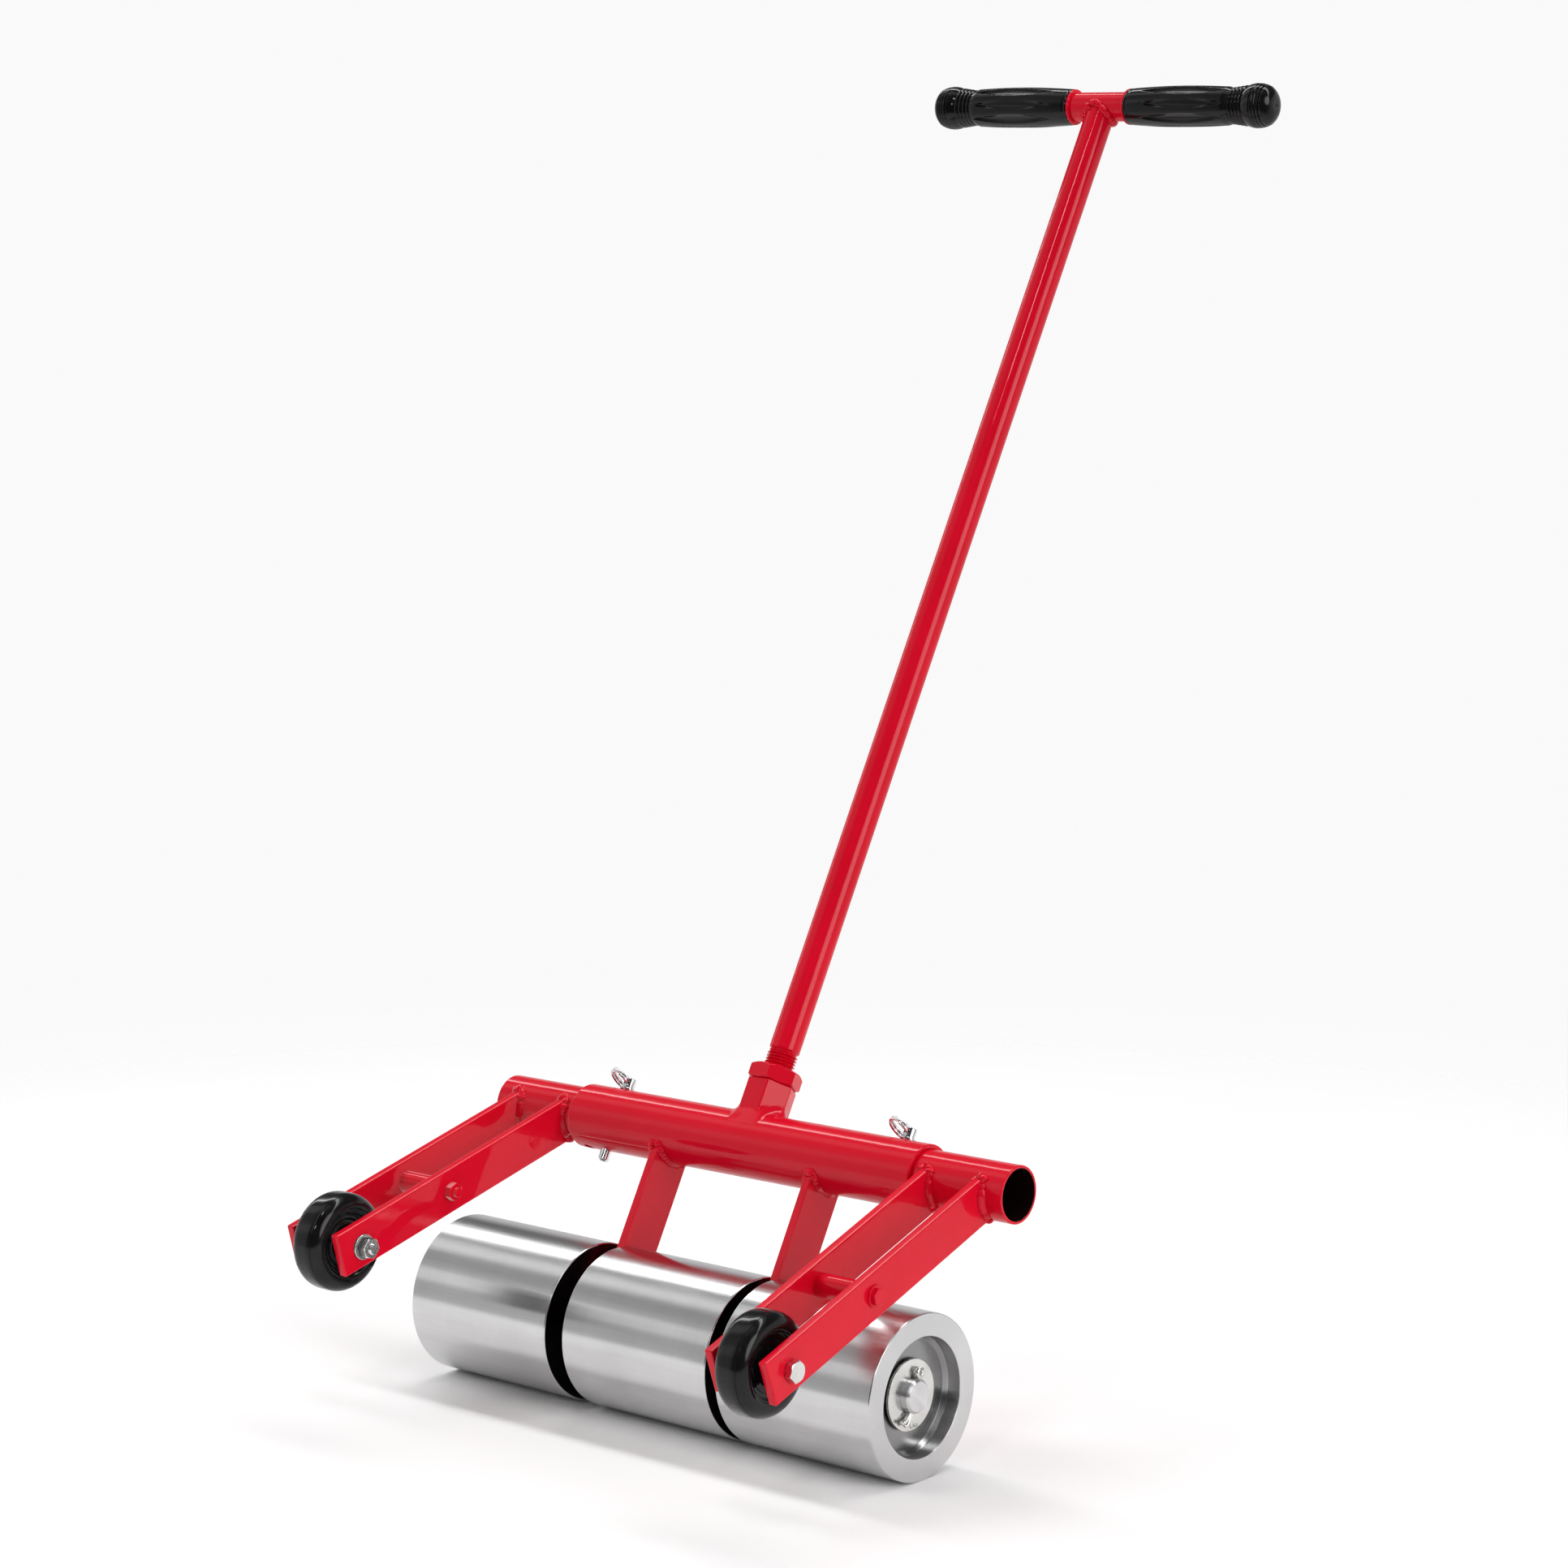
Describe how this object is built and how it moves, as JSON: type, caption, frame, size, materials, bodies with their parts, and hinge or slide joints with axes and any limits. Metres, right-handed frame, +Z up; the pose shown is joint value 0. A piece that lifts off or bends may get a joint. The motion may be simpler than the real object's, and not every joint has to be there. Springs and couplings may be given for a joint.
{
  "type": "floor roller",
  "caption": "Weighted sectional roller for pressing down sheet flooring, with a T-handle, steel roller sections on an axle and pinned transport-wheel arms.",
  "frame": {"origin": "on the floor, straight below the axle, midway between the two uprights", "axes": "+X along the axle to the right-hand end, -Y towards the transport wheels, +Y the way the handle leans, +Z up"},
  "size_m": [0.448, 0.6627, 0.9082],
  "materials": {
    "painted_frame": "glossy red enamel",
    "roller_steel": "turned and ground bright steel",
    "axle_steel": "cold-drawn bright bar",
    "bushing_bronze": "oil-soaked bearing bronze",
    "zinc_hardware": "bright zinc plate",
    "chrome_pins": "bright nickel-chrome plate",
    "grip_rubber": "glossy moulded vinyl",
    "wheel_plastic": "glossy moulded hard rubber"
  },
  "bodies": {
    "frame": {"axle": "axle_steel", "thrust_washers": "zinc_hardware", "axle_end_washers": "zinc_hardware", "cotter_pins": "zinc_hardware", "upright_left": "painted_frame", "upright_right": "painted_frame", "centre_tube": "painted_frame", "handle_socket": "painted_frame", "jam_nut": "painted_frame", "handle_pipe": "painted_frame", "cross_bar": "painted_frame", "grip_stop_rings": "painted_frame", "grip_left": "grip_rubber", "grip_right": "grip_rubber"},
    "roller_left": {"roller_left": "roller_steel", "roller_left_bushings": "bushing_bronze"},
    "roller_middle": {"roller_middle": "roller_steel", "roller_middle_bushings": "bushing_bronze"},
    "roller_right": {"roller_right": "roller_steel", "roller_right_bushings": "bushing_bronze"},
    "arm_left": {"arm_tube_left": "painted_frame", "arm_inner_bar_left": "painted_frame", "arm_outer_bar_left": "painted_frame", "spacer_tube_left": "painted_frame", "spacer_bolt_left": "painted_frame", "spacer_nut_left": "painted_frame", "wheel_washers_left": "zinc_hardware", "wheel_bolt_left": "zinc_hardware", "wheel_nut_left": "zinc_hardware"},
    "wheel_left": {"wheel_left": "wheel_plastic", "wheel_bushing_left": "chrome_pins"},
    "pin_left": {"release_pin_left": "chrome_pins"},
    "ring_left": {"pull_ring_left": "chrome_pins"},
    "arm_right": {"arm_tube_right": "painted_frame", "arm_inner_bar_right": "painted_frame", "arm_outer_bar_right": "painted_frame", "spacer_tube_right": "painted_frame", "spacer_bolt_right": "painted_frame", "spacer_nut_right": "painted_frame", "wheel_washers_right": "zinc_hardware", "wheel_bolt_right": "zinc_hardware", "wheel_nut_right": "zinc_hardware"},
    "wheel_right": {"wheel_right": "wheel_plastic", "wheel_bushing_right": "chrome_pins"},
    "pin_right": {"release_pin_right": "chrome_pins"},
    "ring_right": {"pull_ring_right": "chrome_pins"}
  },
  "joints": [
    {"name": "roller_left_spin", "type": "hinge", "parent": "frame", "child": "roller_left", "pos_m": [0, 0, 0.054], "axis": [1, 0, 0], "continuous": true},
    {"name": "roller_middle_spin", "type": "hinge", "parent": "frame", "child": "roller_middle", "pos_m": [0, 0, 0.054], "axis": [1, 0, 0], "continuous": true},
    {"name": "roller_right_spin", "type": "hinge", "parent": "frame", "child": "roller_right", "pos_m": [0, 0, 0.054], "axis": [1, 0, 0], "continuous": true},
    {"name": "arm_left_play", "type": "hinge", "parent": "frame", "child": "arm_left", "pos_m": [0, 0.06769, 0.17586], "axis": [1, 0, 0], "range_deg": [0, 4.8]},
    {"name": "wheel_left_spin", "type": "hinge", "parent": "arm_left", "child": "wheel_left", "pos_m": [-0.1835, -0.14259, 0.1203], "axis": [1, 0, 0], "continuous": true},
    {"name": "pin_left_pull", "type": "slide", "parent": "frame", "child": "pin_left", "axis": [0, 0.4856, 0.8742], "range_m": [0, 0.06]},
    {"name": "ring_left_swivel", "type": "hinge", "parent": "pin_left", "child": "ring_left", "pos_m": [-0.125, 0.08091, 0.19966], "axis": [0, 0.8742, -0.4856], "range_deg": [-12, 150]},
    {"name": "arm_right_play", "type": "hinge", "parent": "frame", "child": "arm_right", "pos_m": [0, 0.06769, 0.17586], "axis": [1, 0, 0], "range_deg": [-4.8, 0]},
    {"name": "wheel_right_spin", "type": "hinge", "parent": "arm_right", "child": "wheel_right", "pos_m": [0.1835, -0.13721, 0.1029], "axis": [1, 0, 0], "continuous": true},
    {"name": "pin_right_pull", "type": "slide", "parent": "frame", "child": "pin_right", "axis": [0, 0.4856, 0.8742], "range_m": [0, 0.06]},
    {"name": "ring_right_swivel", "type": "hinge", "parent": "pin_right", "child": "ring_right", "pos_m": [0.125, 0.08091, 0.19966], "axis": [0, 0.8742, -0.4856], "range_deg": [-12, 150]}
  ]
}
